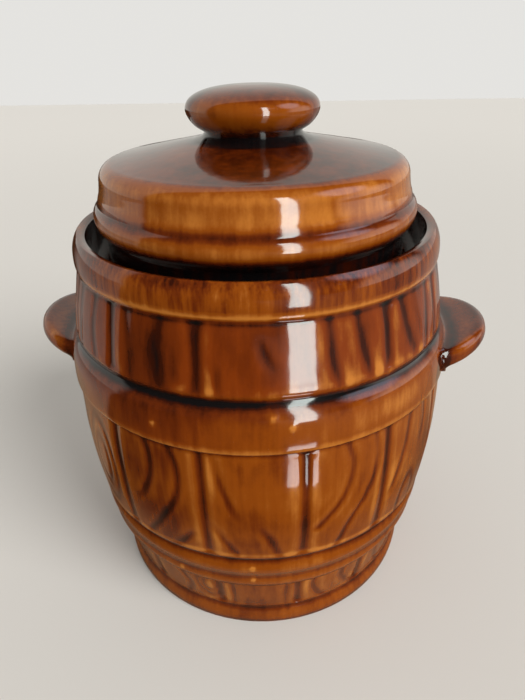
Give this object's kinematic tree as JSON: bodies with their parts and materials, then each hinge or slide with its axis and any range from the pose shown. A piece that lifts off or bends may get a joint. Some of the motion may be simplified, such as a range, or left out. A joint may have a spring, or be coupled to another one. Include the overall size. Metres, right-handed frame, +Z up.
{
  "type": "fermentation crock",
  "caption": "Barrel-shaped brown-glazed stoneware fermentation crock with a water-seal rim, side ears and a loose knobbed lid.",
  "frame": {"origin": "on the floor, at the centre of the round base", "axes": "+Z up along the axis of the crock; the two ears lie on the X axis"},
  "size_m": [0.2438, 0.2025, 0.2612],
  "materials": {
    "pot_glaze": "glossy honey-brown glaze, darker where it pools in the relief",
    "lid_glaze": "glossy honey-brown glaze, darker at the neck and lower edge"
  },
  "bodies": {
    "root": {"pot": "pot_glaze", "lid": "lid_glaze"}
  },
  "joints": []
}
